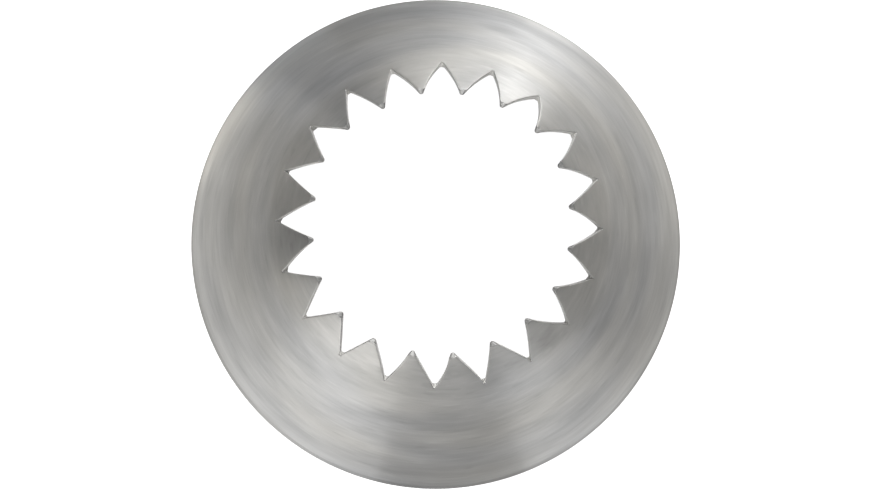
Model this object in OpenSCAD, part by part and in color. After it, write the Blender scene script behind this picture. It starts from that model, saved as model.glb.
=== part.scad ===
// Open star piping nozzle, rolled from one stainless sheet, notched and crimped.
// Origin at the centre of the base ring, +Z along the axis towards the star mouth, +X through
// the seam, millimetres.

/* [Body] */
// Outer diameter of the collar at the filling end
base_d = 35; // [32:0.5:40]
// Height from the base ring to the tooth tips
nozzle_h = 50; // [44:1:60]
// Thickness of the sheet
sheet_t = 0.4; // [0.3:0.05:0.6]

/* [Collar] */
// Height of the straight collar above the base ring
collar_h = 2; // [1:0.5:4]
// Outer radius of the bend that turns the collar into the cone
collar_bend_r = 27; // [20:1:35]

/* [Star mouth] */
// Free opening across opposite tooth tips
mouth_d = 16.3; // [14:0.1:20]
// Outer radius of the crimp that leans the teeth inwards
crimp_bend_r = 12; // [8:1:20]
// Lean of the straight teeth from the axis, in degrees
tooth_lean = 20; // [17:0.5:25]
// Number of teeth, and of the notches between them
tooth_n = 20; // [14:1:24]
// Length of a notch along the sheet, from its root to the tooth tips
notch_l = 5.7; // [4:0.1:8]
// Radius of a notch's root
notch_root_r = 0.2; // [0.18:0.01:0.3]
// Width left on the blunt end of a tooth
tooth_land_w = 0.3; // [0.24:0.02:0.5]

/* [Seam] */
// Width of the butt weld that closes the rolled sheet
seam_w = 0.3; // [0.2:0.02:0.34]
// Height of the weld's inner bead above the inside of the cone
seam_bead_h = 0.1; // [0.05:0.01:0.15]

/* [Hidden] */
$fn = 180;
base_r = base_d / 2;

// Cuts run past the faces that they cut by this much
overrun = 1;

// A point's shift along the skin of the teeth towards the tips, and square into the sheet
tooth_up = [-sin(tooth_lean), cos(tooth_lean)];
tooth_in = [-cos(tooth_lean), -sin(tooth_lean)];

// Outer corner of a tooth tip: the free opening lies at the tip's inner edge
tip_corner = [mouth_d / 2 - sheet_t * tooth_in.x, nozzle_h];

// Centres of the two bends in the plane of the profile, as [radius, height]. The crimp ends
// where the notches do, and the teeth go on straight from there.
collar_bend_c = [base_r - collar_bend_r, collar_h];
crimp_bend_c = tip_corner - notch_l * tooth_up + crimp_bend_r * tooth_in;

// The cone's line is the outer tangent that the two bends share, and this is its lean
bend_gap = crimp_bend_c - collar_bend_c;
cone_lean = atan2(bend_gap.y, bend_gap.x) - acos((collar_bend_r - crimp_bend_r) / norm(bend_gap));

// A notch's root is a circle about the outline's origin. Its flanks leave the circle as
// tangents and meet the tips where one tooth's pitch, less its land, is open.
tooth_step = 360 / tooth_n;
tooth_pitch = 2 * PI * tip_corner.x / tooth_n;
notch_corner = [(tooth_pitch - tooth_land_w) / 2, notch_l - notch_root_r];
flank_turn = atan2(notch_corner.x, notch_corner.y) + acos(notch_root_r / norm(notch_corner));
flank_foot = notch_root_r * [sin(flank_turn), cos(flank_turn)];
flank_end = notch_corner + overrun * [-cos(flank_turn), sin(flank_turn)];

// Each bend is rolled in equal steps that turn the sheet by no more than this, in degrees
bend_step = 1.5;

// A point of a bend's circle, at a lean of the sheet from the axis
function on_bend(centre, r, lean) = centre + r * [cos(lean), sin(lean)];

// The points of a bend from one lean to another, in equal steps
function bend_points(centre, r, lean_from, lean_to) =
    let (steps = ceil(abs(lean_to - lean_from) / bend_step))
    [for (i = [0 : steps]) on_bend(centre, r, lean_from + (lean_to - lean_from) * i / steps)];

// One skin of the sheet as far in from the outside as the given depth, from the base ring up:
// straight collar, collar bend, cone, crimp and straight teeth
function skin_points(depth) = [
    [base_r - depth, 0],
    each bend_points(collar_bend_c, collar_bend_r - depth, 0, cone_lean),
    each bend_points(crimp_bend_c, crimp_bend_r - depth, cone_lean, tooth_lean),
    tip_corner + depth * tooth_in
];

// A list of points in the opposite order
function backwards(points) = [for (i = [len(points) - 1 : -1 : 0]) points[i]];

// The sheet rolled to its shape, before the notches are cut
module rolled_blank(wall) {
    rotate_extrude()
        polygon([each skin_points(0), each backwards(skin_points(wall))]);
}

// Outline of one notch in the plane of the sheet, with the tips towards +Y
module notch_outline() {
    circle(r = notch_root_r);
    polygon([
        [-flank_foot.x, flank_foot.y],
        flank_foot,
        flank_end,
        [-flank_end.x, flank_end.y]
    ]);
}

// The punch for the notch on the +X side, which cuts square to the teeth
module notch_punch() {
    translate([tip_corner.x, 0, tip_corner.y])
        rotate([0, -tooth_lean, 0])
            rotate([90, 0, 90])
                translate([0, notch_root_r - notch_l, -sheet_t - overrun])
                    linear_extrude(height = sheet_t + 2 * overrun)
                        notch_outline();
}

// Every notch round the mouth
module notch_ring() {
    for (turn = [0 : tooth_step : 360 - tooth_step / 2])
        rotate(turn)
            notch_punch();
}

// The straight gap along the line of the cone on the +X side, from the base ring up to the
// root of the notch there
module seam_gap() {
    translate([0, -seam_w / 2, -overrun])
        cube([base_r + overrun, seam_w, nozzle_h + 2 * overrun]);
}

// The sheet itself: collar, cone and crimped teeth, open along the seam
module nozzle_shell() {
    color("silver")
        difference() {
            rolled_blank(sheet_t);
            notch_ring();
            seam_gap();
        }
}

// The weld that fills the seam: ground flush outside and in the collar, with a low bead
// left inside the cone
module seam_weld() {
    color("darkgray")
        difference() {
            intersection() {
                rolled_blank(sheet_t + seam_bead_h);
                seam_gap();
            }
            notch_ring();
            translate([0, 0, -overrun])
                cylinder(r = base_r - sheet_t, h = collar_h + overrun);
        }
}

nozzle_shell();
seam_weld();
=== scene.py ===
"""Open star piping nozzle of brushed stainless sheet, standing on its base ring with its mouth up.

Lengths are in metres. The sheet is worked out in two directions: s runs up the outer skin from
the base ring to the tooth tips, and the azimuth runs round the axis from the seam, on +X. The
depth of a point is how far it lies from the outer skin, square into the sheet.
"""
import math

import bpy
import numpy as np
from mathutils import Matrix, Vector


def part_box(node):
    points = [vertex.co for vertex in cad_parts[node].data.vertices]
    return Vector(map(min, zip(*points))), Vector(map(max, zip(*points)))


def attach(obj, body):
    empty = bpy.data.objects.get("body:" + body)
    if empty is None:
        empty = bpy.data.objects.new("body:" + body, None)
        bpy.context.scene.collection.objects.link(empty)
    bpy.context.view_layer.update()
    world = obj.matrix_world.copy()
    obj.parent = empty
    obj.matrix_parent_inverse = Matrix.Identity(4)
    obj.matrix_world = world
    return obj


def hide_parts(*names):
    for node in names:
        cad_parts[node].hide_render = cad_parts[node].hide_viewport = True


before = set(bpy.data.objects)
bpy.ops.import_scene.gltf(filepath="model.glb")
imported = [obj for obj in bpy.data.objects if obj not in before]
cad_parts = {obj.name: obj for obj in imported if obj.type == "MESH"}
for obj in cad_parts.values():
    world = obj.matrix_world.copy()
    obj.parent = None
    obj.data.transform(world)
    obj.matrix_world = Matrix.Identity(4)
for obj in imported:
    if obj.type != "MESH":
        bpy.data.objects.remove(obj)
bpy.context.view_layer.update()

MM = 0.001
HUNDREDTH = 0.01 * MM

# The sheet, as the solids have it
SHELL_LOW, SHELL_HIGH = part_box("nozzle_shell")
BASE_R = (SHELL_HIGH.y - SHELL_LOW.y) / 2
NOZZLE_H = SHELL_HIGH.z
SHEET_T = 0.4 * MM
COLLAR_H = 2.0 * MM
COLLAR_BEND_R = 27.0 * MM
MOUTH_R = 8.15 * MM
CRIMP_BEND_R = 12.0 * MM
TOOTH_LEAN = math.radians(20)
TOOTH_N = 20
NOTCH_L = 5.7 * MM
TOOTH_LAND_W = 0.3 * MM
SEAM_W = 0.3 * MM
SEAM_BEAD_H = 0.1 * MM

# One tooth's share of the turn, and the radius of the outer corner of a tooth's tip
TOOTH_STEP = 2 * math.pi / TOOTH_N
TIP_R = MOUTH_R + SHEET_T * math.cos(TOOTH_LEAN)

# Softened edges: the cut faces of the teeth, the corners of a tooth's end, and the base ring
CUT_ROUND = 0.05 * MM
CORNER_ROUND = 0.12 * MM
BASE_ROUND = 0.12 * MM

# The punch breaks the sheet on a slant: on the outer skin a notch is narrower than on the inner
# one, by this much on each flank and by this share of its radius at the root
FLANK_SLANT = 0.13 * MM
ROOT_SLANT = 0.5

# How bare the steel is, from 0 for the brushed outer skin to 1 for a face that the punch cut. The
# unbrushed inner skin lies between, and the outer edge of a cut grows bare round its curve as this
# power of a sine. A face barer than CUT_BARE takes the cut finish, which has no grain. The end of
# a tooth is brushed over with the skin, so it keeps the grain, and its bareness is this share.
# Bareness mixes the colour towards the bare colour, which is partly painted light
INNER_BARE = 0.55
EDGE_POWER = 4
CUT_BARE = 0.9
TOOTH_END = 0.2 * MM
END_BARE = 0.55

# Round the mouth from the seam, in hundredths of a mm: how far each tooth's tip stands out (+) or
# in (-), how far it leans sideways, how much deeper (+) or shallower (-) each notch is punched,
# how far its root is shifted sideways, the radius of its root, and how far its two flanks bow
# into the metal
TOOTH_SET = (7, 1, 2, -18, 2, 6, -26, -21, -3, 9, 12, -1, -1, -9, -11, 1, 3, 1, 7, 13)
TOOTH_SWAY = (11, 14, 10, 10, 8, 6, -3, 2, -6, -9, -9, -15, -22, -22, -19, -14, -6, -2, 4, 4)
NOTCH_DEEPER = (4, 14, 5, 2, 30, -21, 11, 0, -7, 17, -12, 0, -24, 7, 1, -16, -15, -3, 24, 46)
NOTCH_SHIFT = (0, 8, 10, 11, -1, 0, 1, 1, 2, -1, 6, 7, 4, 0, 0, 9, 13, 12, 4, 0)
NOTCH_ROOT = (16, 14, 15, 13, 12, 18, 10, 12, 13, 10, 14, 14, 18, 14, 10, 8, 10, 10, 12, 11)
BOW_BEFORE = (15, 10, 8, 7, 4, 1, 4, 1, 6, 0, -2, -3, 0, -4, -2, 8, 8, 6, 5, 12)
BOW_AFTER = (15, 12, 15, 6, 5, 3, 1, 1, 2, 1, 0, 7, 11, 1, 1, 7, 9, 13, 12, 14)

# A tooth's set and sway ease into the next tooth's over this share of the step between their
# middles, and grow as this power of the height above the crown's foot, which lies this far below
# the feet of the straight teeth
EASE_SHARE = 0.3
BEND_POWER = 1.6
CROWN_DROP = 1.2 * MM

# Burrs that the punch left where it came out, on the inner edges, as (notch, how far sideways of
# its middle and how far up from its root, in hundredths of a mm)
BURRS = ((5, -6, 6), (7, -9, 6), (8, -8, 4), (16, -6, 4), (17, -12, 4), (17, -16, 22), (19, -5, 2))
BURR_R = 0.13 * MM
BURR_H = 0.09 * MM

# The weld's inner bead: the length over which it rises and ends, and the depth, as a share of its
# height, and the pitch of its ripple
BEAD_RUN = 0.5 * MM
BEAD_RIPPLE = 0.15
BEAD_PITCH = 0.4 * MM

# Points of the meshes: along a notch's root, its flanks and the corners of its teeth, across the
# weld, and round a softened edge. A flank has one more point close to its root, at this share of
# its length.
ROOT_POINTS = 6
FLANK_POINTS = 10
FLANK_START_SHARE = 0.04
CORNER_POINTS = 5
WELD_POINTS = 9
ROUND_POINTS = 5

# Rows of the meshes up the skin: the collar, its bend, the cone, the crimp, and the crown, whose
# rows crowd towards its foot as this power of an even spacing. The bead has its own rows.
COLLAR_ROWS = 4
COLLAR_BEND_ROWS = 8
CONE_ROWS = 16
CRIMP_ROWS = 6
CROWN_ROWS = 14
CROWN_POWER = 1.4
CROWN_SHARES = np.linspace(0, 1, CROWN_ROWS) ** CROWN_POWER
BEAD_STEP = 0.1 * MM

# Edges that turn by more than this stay sharp, and this length of sheet is one unit of its UV map
SHARP_ANGLE = math.radians(50)
WRAP_UNIT = 100 * MM


def sheet_bends():
    """Lean of the cone, and how far up the skin the cone, the crimp and the straight teeth start.

    The two bends are circles in the plane of the profile, and the crimp's ends where the notches
    do. The cone is the straight line that touches both from outside, so its lean follows from
    their centres and radii.
    """
    across = TIP_R + NOTCH_L * math.sin(TOOTH_LEAN) - CRIMP_BEND_R * math.cos(TOOTH_LEAN)
    across -= BASE_R - COLLAR_BEND_R
    up = NOZZLE_H - NOTCH_L * math.cos(TOOTH_LEAN) - CRIMP_BEND_R * math.sin(TOOTH_LEAN) - COLLAR_H
    apart = math.hypot(across, up)
    lean = math.atan2(up, across) - math.acos((COLLAR_BEND_R - CRIMP_BEND_R) / apart)
    s_cone = COLLAR_H + COLLAR_BEND_R * lean
    s_crimp = s_cone + math.sqrt(apart ** 2 - (COLLAR_BEND_R - CRIMP_BEND_R) ** 2)
    s_tooth = s_crimp + CRIMP_BEND_R * (TOOTH_LEAN - lean)
    return lean, s_cone, s_crimp, s_tooth


CONE_LEAN, S_CONE, S_CRIMP, S_TOOTH = sheet_bends()
S_TIP = S_TOOTH + NOTCH_L
S_CROWN = S_TOOTH - CROWN_DROP


def sheet_line(s, depth):
    """Radius and height of the sheet's profile at s up the outer skin, at a depth into the sheet.

    The skin is a vertical line, an arc that leans it by CONE_LEAN, a straight line, an arc that
    leans it on to TOOTH_LEAN, and a straight line. The depth is measured square to the skin.
    """
    bend = np.clip((s - COLLAR_H) / COLLAR_BEND_R, 0, CONE_LEAN)
    cone = np.clip(s - S_CONE, 0, S_CRIMP - S_CONE)
    crimp = CONE_LEAN + np.clip((s - S_CRIMP) / CRIMP_BEND_R, 0, TOOTH_LEAN - CONE_LEAN)
    tooth = np.clip(s - S_TOOTH, 0, None)
    lean = np.where(s > S_CRIMP, crimp, bend)
    r = (
        BASE_R
        - COLLAR_BEND_R * (1 - np.cos(bend))
        - cone * math.sin(CONE_LEAN)
        - CRIMP_BEND_R * (math.cos(CONE_LEAN) - np.cos(crimp))
        - tooth * math.sin(TOOTH_LEAN)
    )
    z = (
        np.minimum(s, COLLAR_H)
        + COLLAR_BEND_R * np.sin(bend)
        + cone * math.cos(CONE_LEAN)
        + CRIMP_BEND_R * (np.sin(crimp) - math.sin(CONE_LEAN))
        + tooth * math.cos(TOOTH_LEAN)
    )
    return r - depth * np.cos(lean), z - depth * np.sin(lean)


def at_tooth(sizes, azimuth, s):
    """A size that each tooth has at its tip, at any point of the sheet.

    Each tooth bends about its foot, so the size grows as a power of the height above the foot.
    Between two teeth, which only matters below the notch roots, it eases from one to the next.
    The first tooth's middle lies half a step from the seam.
    """
    turn = azimuth / TOOTH_STEP - 0.5
    tooth = np.floor(turn).astype(int)
    ease = np.clip((turn - tooth - (1 - EASE_SHARE) / 2) / EASE_SHARE, 0, 1)
    ease = ease * ease * (3 - 2 * ease)
    tips = np.array(sizes) * HUNDREDTH
    at_tip = tips[tooth % TOOTH_N] * (1 - ease) + tips[(tooth + 1) % TOOTH_N] * ease
    rise = np.clip((s - S_CROWN) / (S_TIP - S_CROWN), 0, None)
    return at_tip * rise ** BEND_POWER


def notch_half(deeper, root_r, bow, from_x):
    """One half of a notch's outline, from its root to the middle of the next tooth's end.

    Returns x across the notch, s up the sheet, the direction into the metal as (x, s), and the
    slant. The root is an arc, the flank its tangent with a parabola's bow into the metal, the
    tooth's corner a second arc, its end straight. The slant runs out round the corner. from_x
    starts the root's arc that far from the middle.
    """
    half_w = (TOOTH_STEP * TIP_R - TOOTH_LAND_W) / 2
    s_root = S_TIP - NOTCH_L - deeper + root_r
    rise = S_TIP - s_root
    turn = math.atan2(half_w, rise) + math.acos(root_r / math.hypot(half_w, rise))
    flank = turn - math.pi / 2
    along = np.array([math.sin(flank), math.cos(flank)])

    root = np.linspace(math.asin(from_x / root_r), math.pi - turn, ROOT_POINTS)
    root_into = np.stack([np.sin(root), -np.cos(root)], 1)
    root_at = np.array([0, s_root]) + root_r * root_into

    corner = np.array([half_w, S_TIP])
    cut_back = CORNER_ROUND / math.tan((math.pi / 2 + flank) / 2)
    arc_centre = corner + np.array([cut_back, -CORNER_ROUND])
    swing = np.linspace(flank, math.pi / 2, CORNER_POINTS)
    corner_into = np.stack([np.cos(swing), -np.sin(swing)], 1)
    corner_at = arc_centre - CORNER_ROUND * corner_into

    steps = np.array([FLANK_START_SHARE, *np.linspace(0, 1, FLANK_POINTS)[1:-1]])[:, None]
    flank_into = np.broadcast_to([along[1], -along[0]], (len(steps), 2))
    flank_at = root_at[-1] + steps * (corner_at[0] - root_at[-1])
    flank_at = flank_at + 4 * steps * (1 - steps) * bow * flank_into

    slant = np.concatenate([
        np.full(len(root), ROOT_SLANT * root_r),
        np.full(len(steps), FLANK_SLANT),
        np.linspace(FLANK_SLANT, 0, len(swing)),
        [0.0],
    ])

    end_at = np.array([[TIP_R * math.sin(TOOTH_STEP / 2), S_TIP]])
    end_into = np.array([[0.0, -1.0]])
    at = np.concatenate([root_at, flank_at, corner_at, end_at])
    into = np.concatenate([root_into, flank_into, corner_into, end_into])
    return at[:, 0], at[:, 1], into, slant


def star_outline():
    """The outline of all teeth, round from one edge of the seam to the other.

    Returns one row per column of the sheet: azimuth of the notch, x across it, s, the direction
    into the metal as (x, s), and the slant. A notch's halves are alike but for their bows, and a
    point that two halves share is kept once. The seam runs through the first notch: one half of
    it starts the outline and the other ends it.
    """
    mirrored = np.array([1, -1, 1, -1, 1, 1])
    columns = []
    for turn in range(TOOTH_N + 1):
        notch = turn % TOOTH_N
        deeper = NOTCH_DEEPER[notch] * HUNDREDTH
        root_r = NOTCH_ROOT[notch] * HUNDREDTH
        shift = NOTCH_SHIFT[notch] * HUNDREDTH
        from_x = SEAM_W / 2 if notch == 0 else 0.0
        halves = []
        for bow in (BOW_BEFORE[notch], BOW_AFTER[notch]):
            x, s, into, slant = notch_half(deeper, root_r, bow * HUNDREDTH, from_x)
            middle = turn * TOOTH_STEP + shift * (S_TIP - s) / NOTCH_L / TIP_R
            halves.append(np.stack([middle, x, s, into[:, 0], into[:, 1], slant], 1))
        before, after = halves[0][::-1] * mirrored, halves[1]
        if turn > 0:
            columns.append(before[1:] if notch == 0 else before[1:-1])
        if turn < TOOTH_N:
            columns.append(after)
    return np.concatenate(columns)


def strip_rows(columns, pinned, low_rows, bead=None):
    """Azimuth, s, depth and bareness of every point of a strip: rows of its section, by columns.

    The section runs up the outer skin, round the cut edge at the top, down the inner skin and
    round the base ring. Below S_CROWN the rows lie level; above it they fan out to the outline.
    A pinned column keeps its distance across the notch all the way down, and the others keep
    their azimuth. The bareness is 0 on the brushed outer skin, INNER_BARE on the inner skin and
    the base ring, and 1 on the faces that the punch has cut. A bead adds its height to the inner
    skin.
    """
    middle, x, s_top, into_x, into_s, slant = columns.T
    azimuth_low = middle + np.arcsin(x / sheet_line(s_top, 0.0)[0])

    def low_row(s, depth):
        s = np.full_like(x, s)
        depth = np.broadcast_to(depth, x.shape)
        pinned_at = middle + np.arcsin(x / sheet_line(s, depth)[0])
        bare = np.full_like(x, INNER_BARE if depth[0] > 0 else 0)
        return np.where(pinned, pinned_at, azimuth_low), s, depth, bare

    def rim_row(inset, depth, bare):
        inset = inset - slant * (1 - depth / SHEET_T)
        s = s_top + into_s * inset
        depth = np.broadcast_to(depth, x.shape)
        r = sheet_line(s, depth)[0]
        return middle + np.arcsin((x + into_x * inset) / r), s, depth, np.full_like(x, bare)

    def crown_row(share, depth):
        foot = low_row(S_CROWN, depth)
        rim = rim_row(CUT_ROUND, depth, INNER_BARE if depth > 0 else 0)
        return tuple(a + share * (b - a) for a, b in zip(foot, rim))

    inner = [SHEET_T] * len(low_rows) if bead is None else SHEET_T + bead(x, low_rows)
    quarter = np.linspace(0, math.pi / 2, ROUND_POINTS)
    rows = [low_row(s, 0.0) for s in low_rows]
    rows += [crown_row(share, 0.0) for share in CROWN_SHARES]
    for a in quarter[1:]:
        inset, depth = CUT_ROUND * (1 - math.sin(a)), CUT_ROUND * (1 - math.cos(a))
        rows.append(rim_row(inset, depth, math.sin(a) ** EDGE_POWER))
    rows.append(rim_row(0.0, SHEET_T / 2, 1.0))
    for a in quarter[:-1]:
        inset, depth = CUT_ROUND * (1 - math.cos(a)), SHEET_T - CUT_ROUND * (1 - math.sin(a))
        rows.append(rim_row(inset, depth, math.cos(a)))
    rows += [crown_row(share, SHEET_T) for share in CROWN_SHARES[::-1]]
    rows += [low_row(s, depth) for s, depth in zip(low_rows[::-1], inner[::-1])]
    for a in quarter[1:]:
        s, depth = BASE_ROUND * (1 - math.sin(a)), SHEET_T - BASE_ROUND * (1 - math.cos(a))
        rows.append(low_row(s, depth))
    for a in quarter[:-1]:
        s, depth = BASE_ROUND * (1 - math.cos(a)), BASE_ROUND * (1 - math.sin(a))
        rows.append(low_row(s, depth))
    return [np.stack(part) for part in zip(*rows)]


def strip_mesh(name, azimuth, s, depth, bare):
    """A strip of sheet as a mesh, from the azimuth, s, depth and bareness of its rows.

    Each point lies at the profile's radius and height, less its tooth's set as depth, turned to
    its azimuth and on by its tooth's sway. The end columns, the edges of the seam, are closed by
    quads across the sheet, all but one triangle of about 0.03 mm at the notch's inner edge. The
    UV map wrap lays the strip flat, with u round the axis and v up it, and adds some of the depth
    to both, so that the cut walls have an area in it too.
    """
    rows, cols = azimuth.shape
    r, z = sheet_line(s, depth - at_tooth(TOOTH_SET, azimuth, s))
    turned = azimuth + at_tooth(TOOTH_SWAY, azimuth, s) / r
    at = np.stack([r * np.cos(turned), r * np.sin(turned), z], -1).reshape(-1, 3)

    row, col = np.meshgrid(np.arange(rows), np.arange(cols - 1), indexing="ij")
    here = row * cols + col
    above = (row + 1) % rows * cols + col
    skin = np.stack([here, here + 1, above + 1, above], -1)
    half = np.arange(rows // 2 - 1)
    across = rows - 1 - half
    start = np.stack([half, half + 1, across - 1, across], -1) * cols
    end = start[:, ::-1] + cols - 1
    faces = np.concatenate([skin.reshape(-1, 4), start, end])

    mesh = bpy.data.meshes.new(name)
    mesh.vertices.add(len(at))
    mesh.vertices.foreach_set("co", at.astype(np.float32).ravel())
    mesh.loops.add(faces.size)
    mesh.loops.foreach_set("vertex_index", faces.astype(np.int32).ravel())
    mesh.polygons.add(len(faces))
    mesh.polygons.foreach_set("loop_start", np.arange(0, faces.size, 4, dtype=np.int32))
    mesh.update(calc_edges=True)
    mesh.polygons.foreach_set("use_smooth", np.ones(len(faces), bool))
    cut_face = bare.ravel()[faces].mean(1) > CUT_BARE
    below_end = s.ravel()[faces].mean(1) < S_TIP - TOOTH_END
    mesh.polygons.foreach_set("material_index", (cut_face & below_end).astype(np.int32))
    mesh.set_sharp_from_angle(angle=SHARP_ANGLE)

    flat = np.stack([azimuth * BASE_R + depth, s + depth / 2], -1).reshape(-1, 2)
    wrap = flat[faces.ravel()] / WRAP_UNIT
    layer = mesh.uv_layers.new(name="wrap")
    layer.data.foreach_set("uv", wrap.astype(np.float32).ravel())
    bare = np.where(s > S_TIP - TOOTH_END, END_BARE * bare, bare)
    bareness = mesh.attributes.new(name="bare", type="FLOAT", domain="POINT")
    bareness.data.foreach_set("value", bare.astype(np.float32).ravel())
    piece = bpy.data.objects.new(name, mesh)
    bpy.context.scene.collection.objects.link(piece)
    return piece


def level_rows():
    """Heights s of the level rows: closer in the bends than on the cone."""
    return np.concatenate([
        np.linspace(BASE_ROUND, COLLAR_H, COLLAR_ROWS)[:-1],
        np.linspace(COLLAR_H, S_CONE, COLLAR_BEND_ROWS)[:-1],
        np.linspace(S_CONE, S_CRIMP, CONE_ROWS)[:-1],
        np.linspace(S_CRIMP, S_CROWN, CRIMP_ROWS)[:-1],
    ])


def with_burrs(azimuth, s, depth, bare):
    """The sheet's points with a low bare bump, a bell curve, on the inner edge at each burr."""
    inner = depth > SHEET_T / 2
    for notch, sideways, up in BURRS:
        middle = notch * TOOTH_STEP + (sideways + NOTCH_SHIFT[notch]) * HUNDREDTH / TIP_R
        turn = (azimuth - middle + math.pi) % (2 * math.pi) - math.pi
        s_burr = S_TIP - NOTCH_L + (up - NOTCH_DEEPER[notch]) * HUNDREDTH
        away = np.hypot(turn * TIP_R, s - s_burr)
        bump = np.where(inner, np.exp(-((away / BURR_R) ** 2)), 0)
        depth = depth + BURR_H * bump
        # A burr takes the bright bare colour, partly a painted glint
        bare = np.maximum(bare, bump)
    return azimuth, s, depth, bare


def rolled_sheet():
    """The sheet from one edge of the seam round to the other, with its notched, crimped mouth."""
    columns = star_outline()
    seam_edges = np.zeros(len(columns), bool)
    seam_edges[[0, -1]] = True
    rows = strip_rows(columns, seam_edges, level_rows())
    return strip_mesh("rolled_sheet", *with_burrs(*rows))


def ground_weld():
    """The weld between the sheet's edges, as wide as the seam, with a low rippled bead inside.

    The bead's height is a half ellipse across the weld, times a sine's ripple along it.
    """
    root_r = NOTCH_ROOT[0] * HUNDREDTH
    s_root = S_TIP - NOTCH_L - NOTCH_DEEPER[0] * HUNDREDTH + root_r
    root = np.linspace(-1, 1, WELD_POINTS) * math.asin(SEAM_W / 2 / root_r)
    columns = np.stack([
        np.zeros_like(root),
        root_r * np.sin(root),
        s_root - root_r * np.cos(root),
        np.sin(root),
        -np.cos(root),
        np.full_like(root, ROOT_SLANT * root_r),
    ], 1)

    def bead(x, s):
        rise = np.clip((s - COLLAR_H) / BEAD_RUN, 0, 1) * np.clip((S_CROWN - s) / BEAD_RUN, 0, 1)
        ripple = 1 - BEAD_RIPPLE + BEAD_RIPPLE * np.sin(s * 2 * math.pi / BEAD_PITCH)
        dome = np.sqrt(np.clip(1 - (x / (SEAM_W / 2)) ** 2, 0, None))
        return SEAM_BEAD_H * (rise * ripple)[:, None] * dome

    low_rows = np.unique(np.concatenate([level_rows(), np.arange(COLLAR_H, S_CROWN, BEAD_STEP)]))
    rows = strip_rows(columns, np.ones(len(root), bool), low_rows, bead)
    return strip_mesh("ground_weld", *rows)


# The camera, as the photograph sees the nozzle: from straight above its mouth, a little off
# the axis. A picture angle runs anticlockwise from the picture's right, in degrees. The camera's
# tilt draws the tooth tips towards TIP_DRIFT_ANGLE, away from the middle of the base ring.
SEAM_PICTURE_ANGLE = 52.24
CAMERA_UP = 386 * MM
CAMERA_TILT = 1.639
TIP_DRIFT_ANGLE = 79.95
CAMERA_LEFT = 0.034 * MM
CAMERA_HIGHER = 0.068 * MM
CAMERA_NEAR = 10 * MM
CAMERA_FAR = 20
FOCAL_PX = 5355.4
PICTURE_W = 870
SENSOR_W = 36.0


def picture_direction(angle):
    """Level direction in the part's frame of a picture angle in degrees."""
    azimuth = math.radians(angle - SEAM_PICTURE_ANGLE)
    return Vector((math.cos(azimuth), math.sin(azimuth), 0))


def set_camera():
    """Camera over the nozzle, aimed close to the middle of the base ring."""
    data = bpy.data.cameras.new("camera")
    data.sensor_width = SENSOR_W
    data.lens = FOCAL_PX / PICTURE_W * SENSOR_W
    data.clip_start = CAMERA_NEAR
    data.clip_end = CAMERA_FAR
    camera = bpy.data.objects.new("camera", data)
    tilt = math.radians(CAMERA_TILT)
    away = Vector((0, 0, math.cos(tilt))) - picture_direction(TIP_DRIFT_ANGLE) * math.sin(tilt)
    up = picture_direction(90)
    right = up.cross(away).normalized()
    up = away.cross(right)
    camera.location = away * CAMERA_UP - right * CAMERA_LEFT + up * CAMERA_HIGHER
    camera.rotation_mode = "QUATERNION"
    turn = Matrix((right, up, away.normalized())).transposed()
    camera.rotation_quaternion = turn.to_quaternion()
    bpy.context.scene.collection.objects.link(camera)
    bpy.context.scene.camera = camera


def nodes_of(material):
    """The node tree of a material, emptied, with its output."""
    material.use_nodes = True
    tree = material.node_tree
    tree.nodes.clear()
    return tree, tree.nodes.new("ShaderNodeOutputMaterial")


def add(tree, kind, inputs=None, **settings):
    """A node with its settings and inputs: an input takes a value, or an output to link from."""
    node = tree.nodes.new(kind)
    for key, value in settings.items():
        setattr(node, key, value)
    for key, value in (inputs or {}).items():
        if isinstance(value, bpy.types.NodeSocket):
            tree.links.new(value, node.inputs[key])
        else:
            node.inputs[key].default_value = value
    return node


def worked(tree, operation, *values, clamped=False):
    """The result of a sum or product of values, each a number or an output to link from."""
    inputs = dict(enumerate(values))
    node = add(tree, "ShaderNodeMath", inputs, operation=operation, use_clamp=clamped)
    return node.outputs[0]


def carried(tree, value, start, end, at_start, at_end, step="SMOOTHSTEP"):
    """A result that goes from at_start to at_end, and no further, as a value goes start to end."""
    node = add(tree, "ShaderNodeMapRange", {
        "Value": value, "From Min": start, "From Max": end, "To Min": at_start, "To Max": at_end,
    }, interpolation_type=step)
    return node.outputs[0]


def mixed(tree, share, colour_a, colour_b, clamped=True):
    """The colour at a share of the way from one colour to another."""
    inputs = {0: share, "A": colour_a, "B": colour_b}
    node = add(tree, "ShaderNodeMix", inputs, data_type="RGBA", clamp_factor=clamped)
    return next(out for out in node.outputs if out.enabled and out.type == "RGBA")


WHITE = (1.0, 1.0, 1.0, 1.0)
BLACK = (0.0, 0.0, 0.0, 1.0)

# The steel as it is brushed, where it is stained warm, and bare
STEEL = (0.415, 0.415, 0.413, 1.0)
WARM_STEEL = (0.422, 0.415, 0.397, 1.0)
# The bare colour is lighter than bare steel: partly painted light, which lifts the shade in the
# narrow cut faces and makes the burrs glint
BARE_STEEL_WITH_PAINTED_LIGHT = (0.86, 0.855, 0.84, 1.0)

# Patterns of strokes, as (how many lie in a radian round the axis, how high one is, its detail,
# the roughness of the detail)
MOTTLE = (2.2, 7 * MM, 1.0, 0.5)
STREAK = (4.0, 1.6 * MM, 2.0, 0.6)
SCUFF = (6.0, 0.5 * MM, 2.0, 0.7)
BRUSH = (3.0, 0.07 * MM, 3.0, 0.6)
NICK = (8.0, 0.6 * MM, 0.0, 0.5)
STAIN = (1.2, 14 * MM, 1.0, 0.5)

# The tone of the steel is the base and the patterns, each times its weight
TONE_BASE = 0.425
TONE_WEIGHTS = ((MOTTLE, 0.54), (STREAK, 0.36), (SCUFF, 0.2))

# Fine scratches lie where the nicks' pattern comes near its highest and its lowest value, as
# (value where one starts, value where it is full, its change of tone)
SCRATCHES = ((0.68, 0.8, 0.08), (0.32, 0.2, -0.08))
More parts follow.
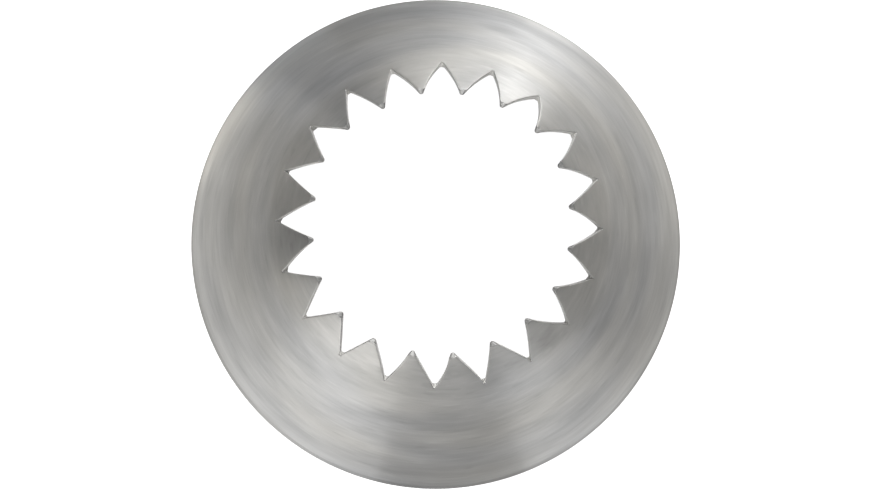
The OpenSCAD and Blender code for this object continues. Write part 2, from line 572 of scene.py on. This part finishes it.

# The rolled collar is darker than the cone, a painted shade, with a painted highlight line above it
# where the bend meets the cone, and the cone's lower part is a little lighter than its upper part.
# Each change of tone is (from height, to height, below, above).
# How much lighter the painted highlight line above the collar is
PAINTED_HIGHLIGHT_GAIN = 1.1
RIM_TONES = (
    (5.3 * MM, 6.3 * MM, 0.84, PAINTED_HIGHLIGHT_GAIN),
    (8.0 * MM, 11.0 * MM, 1.0, 1 / PAINTED_HIGHLIGHT_GAIN),
    (31.2 * MM, 32.4 * MM, 1.04, 1.0),
)

# Small marks on the cone, as (picture angle, height, radius, tone at its middle)
MARKS = (
    (16.7, 32.5 * MM, 0.22 * MM, 1.3),
    (143.5, 26.0 * MM, 0.45 * MM, 0.86),
    (278.0, 13.0 * MM, 0.5 * MM, 0.85),
    (151.0, 30.5 * MM, 0.3 * MM, 1.12),
    (200.0, 21.0 * MM, 0.3 * MM, 1.1),
    (304.0, 18.0 * MM, 0.35 * MM, 0.9),
)

# Values of the stain's pattern at which the steel is plain and at which it is warm
STAIN_PLAIN = 0.35
STAIN_WARM = 0.65

# Roughness of the brushed skin and of the cut finish, how much the brushing varies it, and how
# much bare steel adds to it
SKIN_ROUGH = 0.48
CUT_ROUGH = 0.7
BRUSH_ROUGH = 0.1
BARE_ROUGH = 0.22

# Strength and depth of the brushing's relief. The grain draws the gloss out across the strokes,
# a quarter turn from the direction of u, which runs along them; a cut face has none.
BRUSH_RELIEF = 0.25
BRUSH_DEPTH = 0.02 * MM
SKIN_GRAIN = 0.9
NO_GRAIN = 0.0
ACROSS_STROKES = 0.25


def cone_point(angle, height):
    """The point of the cone's skin at a picture angle and a height, up its straight line."""
    foot_r, foot_z = sheet_line(np.array(S_CONE), 0)
    r = foot_r - (height - foot_z) * math.tan(CONE_LEAN)
    spot = picture_direction(angle) * float(r)
    return spot.x, spot.y, height


def brushed_steel(name, roughness, grain):
    """Stainless sheet brushed round the axis, in a brighter colour where it is bare, which is
    partly painted light.

    A pattern of strokes is noise on (K x/r, K y/r, z/M): K sets how many lie round the cone and M
    how high one is, with no seam where the azimuth starts again. Mottle, streaks and scuffs set
    the tone of the colour, and scratches, the heights' tones, which paint shade on the collar and a
    highlight line above it, and the marks change it. A stain warms it in places. The brushing, the
    finest of the patterns, varies roughness and relief.
    """
    material = bpy.data.materials.new(name)
    tree, output = nodes_of(material)
    here = add(tree, "ShaderNodeTexCoord").outputs["Object"]
    apart = add(tree, "ShaderNodeSeparateXYZ", {0: here}).outputs
    level = add(tree, "ShaderNodeCombineXYZ", {0: apart[0], 1: apart[1]}).outputs[0]
    around = add(tree, "ShaderNodeVectorMath", {0: level}, operation="NORMALIZE").outputs[0]
    rim = add(tree, "ShaderNodeSeparateXYZ", {0: around}).outputs
    unit = add(tree, "ShaderNodeCombineXYZ", {0: rim[0], 1: rim[1], 2: apart[2]}).outputs[0]

    def strokes(in_radian, height, detail, rough):
        scale = (in_radian, in_radian, 1 / height)
        scaled = add(tree, "ShaderNodeVectorMath", {0: unit, 1: scale}, operation="MULTIPLY")
        noise = add(tree, "ShaderNodeTexNoise", {
            "Vector": scaled.outputs[0], "Scale": 1.0, "Detail": detail, "Roughness": rough,
        })
        return noise.outputs["Fac"]

    tone = TONE_BASE
    for pattern, weight in TONE_WEIGHTS:
        tone = worked(tree, "MULTIPLY_ADD", strokes(*pattern), weight, tone)
    nick = strokes(*NICK)
    for start, full, change in SCRATCHES:
        tone = worked(tree, "ADD", tone, carried(tree, nick, start, full, 0.0, change))
    # Painted shade on the collar and a painted highlight line above it, by height
    for low, high, below, above in RIM_TONES:
        tone = worked(tree, "MULTIPLY", tone, carried(tree, apart[2], low, high, below, above))
    for angle, height, radius, mark_tone in MARKS:
        ends = {0: here, 1: cone_point(angle, height)}
        away = add(tree, "ShaderNodeVectorMath", ends, operation="DISTANCE").outputs["Value"]
        tone = worked(tree, "MULTIPLY", tone, carried(tree, away, 0.0, radius, mark_tone, 1.0))

    warmth = carried(tree, strokes(*STAIN), STAIN_PLAIN, STAIN_WARM, 0.0, 1.0, step="LINEAR")
    hue = mixed(tree, warmth, STEEL, WARM_STEEL)
    brushed = mixed(tree, tone, BLACK, hue, clamped=False)
    bare = add(tree, "ShaderNodeAttribute", attribute_name="bare").outputs["Fac"]

    brush = strokes(*BRUSH)
    rough = worked(tree, "MULTIPLY_ADD", brush, BRUSH_ROUGH, roughness - BRUSH_ROUGH / 2)
    rough = worked(tree, "MULTIPLY_ADD", bare, BARE_ROUGH, rough)
    relief = add(tree, "ShaderNodeBump", {
        "Strength": BRUSH_RELIEF, "Distance": BRUSH_DEPTH, "Height": brush,
    })
    tangent = add(tree, "ShaderNodeTangent", direction_type="UV_MAP", uv_map="wrap")
    shader = add(tree, "ShaderNodeBsdfPrincipled", {
        "Base Color": mixed(tree, bare, brushed, BARE_STEEL_WITH_PAINTED_LIGHT),
        "Metallic": 1.0,
        "Roughness": rough,
        "Anisotropic": grain,
        "Anisotropic Rotation": ACROSS_STROKES,
        "Normal": relief.outputs[0],
        "Tangent": tangent.outputs[0],
    })
    tree.links.new(shader.outputs[0], output.inputs["Surface"])
    return material


# The floor: how far it reaches from the axis in metres, its matt colour, and how plainly white it
# is to the camera and to mirrored or refracted rays
FLOOR_REACH = 3.0
FLOOR_COLOUR = (0.85, 0.85, 0.85, 1.0)
FLOOR_SEEN = 0.95
FLOOR_MIRRORED = 0.92

# The even light of the room, and the overhead light's radiance, width and height
ROOM_LIGHT = 0.17
OVERHEAD_RADIANCE = 0.6
OVERHEAD_W = 300 * MM
OVERHEAD_Z = 450 * MM

# Tints of the lights and cards: faintly warm at the picture's sides, faintly cool at its top
PLAIN = (1.0, 1.0, 1.0)
WARM = (1.0, 0.97, 0.9)
COOL = (0.92, 0.97, 1.04)

# Distance from the axis of most softboxes, and of the two low ones at the nozzle's foot
PANEL_R = 75 * MM
FOOT_R = 25 * MM
FOOT_OUTER_R = 38 * MM

# Softboxes, as (name, from and to picture angle, low and high edge in mm, radiance, distance from
# the axis, tint). A radiance of 1 is as bright as the white floor.
SOFTBOXES = (
    ("right_strip", 0, 50, 1, 15, 2.2, PANEL_R, WARM),
    ("right_strip_middle", 18, 42, 1, 15, 0.8, PANEL_R, WARM),
    ("left_strip", 138, 205, 1, 15, 1.1, PANEL_R, WARM),
    ("lower_left_strip", 195, 235, 1, 15, 2.2, PANEL_R, WARM),
    ("lower_right_strip", 294, 326, 1, 15, 3.2, PANEL_R, PLAIN),
    ("lower_right_low", 294, 314, 15, 40, 0.6, PANEL_R, PLAIN),
    ("key_low", 50, 70, 7, 40, 2.4, PANEL_R, PLAIN),
    ("key", 55, 75, 40, 80, 4.6, PANEL_R, PLAIN),
    ("key_side", 77, 92, 40, 80, 1.6, PANEL_R, PLAIN),
    ("key_top", 56, 105, 80, 150, 3.2, PANEL_R, PLAIN),
    ("key_top_side", 76, 94, 80, 150, 2.4, PANEL_R, PLAIN),
    ("lower_left_low", 213, 247, 15, 40, 2.0, PANEL_R, PLAIN),
    ("lower_left_high", 226, 256, 40, 80, 1.2, PANEL_R, PLAIN),
    ("lower_left_top", 227, 254, 90, 150, 4.2, PANEL_R, PLAIN),
    ("bottom_top", 252, 290, 80, 150, 2.0, PANEL_R, PLAIN),
    ("left_foot", 138, 164, 0.2, 3, 1.8, FOOT_R, WARM),
    ("left_outer_foot", 142, 198, 0.2, 3, 4.2, FOOT_OUTER_R, WARM),
    ("right_lower_strip", 326, 360, 1, 15, 0.7, PANEL_R, WARM),
)

# Grey cards, as (name, from and to picture angle, inner and outer radius in mm, tone, tint). A tone
# of 1 is as bright as the white floor. Each lies this far above it, with this many points an arc.
GREY_CARDS = (
    ("left_card", 142, 202, 46, 110, 0.02, PLAIN),
    ("top_card", 68, 116, 21, 30, 0.45, COOL),
    ("top_outer_card", 82, 133, 31, 62, 0.1, COOL),
    ("top_left_card", 117, 142, 19, 30, 0.92, COOL),
    ("bottom_card", 256, 292, 20, 29, 0.3, PLAIN),
    ("bottom_outer_card", 256, 288, 31, 54, 0.3, PLAIN),
    ("right_card", 310, 392, 42, 90, 0.3, PLAIN),
)
CARD_Z = 0.2 * MM
CARD_POINTS = 13


def pale_floor():
    """White floor, which camera, mirrored and refracted rays see nearly plain, faintly shadowed."""
    mesh = bpy.data.meshes.new("floor")
    signs = ((-1, -1), (1, -1), (1, 1), (-1, 1))
    corners = [(FLOOR_REACH * x, FLOOR_REACH * y, 0) for x, y in signs]
    mesh.from_pydata(corners, [], [(0, 1, 2, 3)])
    floor = bpy.data.objects.new("floor", mesh)
    bpy.context.scene.collection.objects.link(floor)
    material = bpy.data.materials.new("white_floor")
    tree, output = nodes_of(material)
    path = add(tree, "ShaderNodeLightPath").outputs
    mirrored = worked(tree, "ADD", path["Is Glossy Ray"], path["Is Transmission Ray"], clamped=True)
    plainness = worked(tree, "MULTIPLY", mirrored, FLOOR_MIRRORED)
    matt = add(tree, "ShaderNodeBsdfDiffuse", {"Color": FLOOR_COLOUR}).outputs[0]
    plain = add(tree, "ShaderNodeEmission", {"Color": WHITE, "Strength": 1.0}).outputs[0]
    lit = add(tree, "ShaderNodeMixShader", {0: plainness, 1: matt, 2: plain}).outputs[0]
    looked_at = worked(tree, "MULTIPLY", path["Is Camera Ray"], FLOOR_SEEN)
    glow = add(tree, "ShaderNodeEmission", {"Color": WHITE, "Strength": looked_at}).outputs[0]
    both = add(tree, "ShaderNodeAddShader", {0: lit, 1: glow}).outputs[0]
    tree.links.new(both, output.inputs["Surface"])
    mesh.materials.append(material)


def softbox(name, from_angle, to_angle, low_mm, high_mm, radiance, reach, tint):
    """An upright softbox close to the nozzle, between two picture angles and two heights.

    It stands as a tangent to a circle of the reach about the axis, faces the axis, and is as wide
    as the angles need there. The camera doesn't see it.
    """
    half_turn = math.radians((to_angle - from_angle) / 2)
    data = bpy.data.lights.new(name, "AREA")
    data.shape = "RECTANGLE"
    data.size = 2 * reach * math.tan(half_turn)
    data.size_y = (high_mm - low_mm) * MM
    data.energy = radiance * math.pi * data.size * data.size_y
    data.color = tint
    lamp = bpy.data.objects.new(name, data)
    outwards = picture_direction((from_angle + to_angle) / 2)
    lamp.location = outwards * reach + Vector((0, 0, (low_mm + high_mm) / 2 * MM))
    lamp.rotation_mode = "QUATERNION"
    lamp.rotation_quaternion = outwards.to_track_quat("Z", "Y")
    lamp.visible_camera = False
    bpy.context.scene.collection.objects.link(lamp)


def grey_card(name, from_angle, to_angle, inner_mm, outer_mm, tone, tint):
    """A grey card lying beside the nozzle, part of a ring, which only the steel's gloss sees."""
    arc = np.radians(np.linspace(from_angle, to_angle, CARD_POINTS) - SEAM_PICTURE_ANGLE)
    azimuth = np.concatenate([arc, arc[::-1]])
    r = np.repeat([inner_mm * MM, outer_mm * MM], CARD_POINTS)
    corners = np.stack([r * np.cos(azimuth), r * np.sin(azimuth), np.full_like(r, CARD_Z)], 1)
    mesh = bpy.data.meshes.new(name)
    mesh.from_pydata(corners, [], [range(len(corners))])
    card = bpy.data.objects.new(name, mesh)
    bpy.context.scene.collection.objects.link(card)
    material = bpy.data.materials.new(name)
    tree, output = nodes_of(material)
    plain = add(tree, "ShaderNodeEmission", {"Color": (*tint, 1.0), "Strength": tone})
    tree.links.new(plain.outputs[0], output.inputs["Surface"])
    mesh.materials.append(material)
    card.visible_camera = False
    card.visible_diffuse = False
    card.visible_shadow = False


def studio():
    """A dim even room, a wide light overhead, the softboxes and the grey cards."""
    world = bpy.data.worlds.new("studio")
    bpy.context.scene.world = world
    world.use_nodes = True
    background = world.node_tree.nodes["Background"]
    background.inputs["Color"].default_value = WHITE
    background.inputs["Strength"].default_value = ROOM_LIGHT
    overhead = bpy.data.lights.new("overhead", "AREA")
    overhead.size = OVERHEAD_W
    overhead.energy = OVERHEAD_RADIANCE * math.pi * overhead.size ** 2
    ceiling = bpy.data.objects.new("overhead", overhead)
    ceiling.location = (0, 0, OVERHEAD_Z)
    ceiling.visible_camera = False
    bpy.context.scene.collection.objects.link(ceiling)
    for box in SOFTBOXES:
        softbox(*box)
    for card in GREY_CARDS:
        grey_card(*card)


bpy.context.scene.view_settings.view_transform = "Standard"
set_camera()
pale_floor()
studio()

steel = brushed_steel("stainless_sheet", SKIN_ROUGH, SKIN_GRAIN)
cut_steel = brushed_steel("cut_sheet", CUT_ROUGH, NO_GRAIN)
weld_steel = brushed_steel("weld_metal", SKIN_ROUGH, SKIN_GRAIN)

sheet = rolled_sheet()
sheet.data.materials.append(steel)
sheet.data.materials.append(cut_steel)
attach(sheet, "root")
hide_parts("nozzle_shell")

weld = ground_weld()
weld.data.materials.append(weld_steel)
weld.data.materials.append(cut_steel)
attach(weld, "root")
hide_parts("seam_weld")
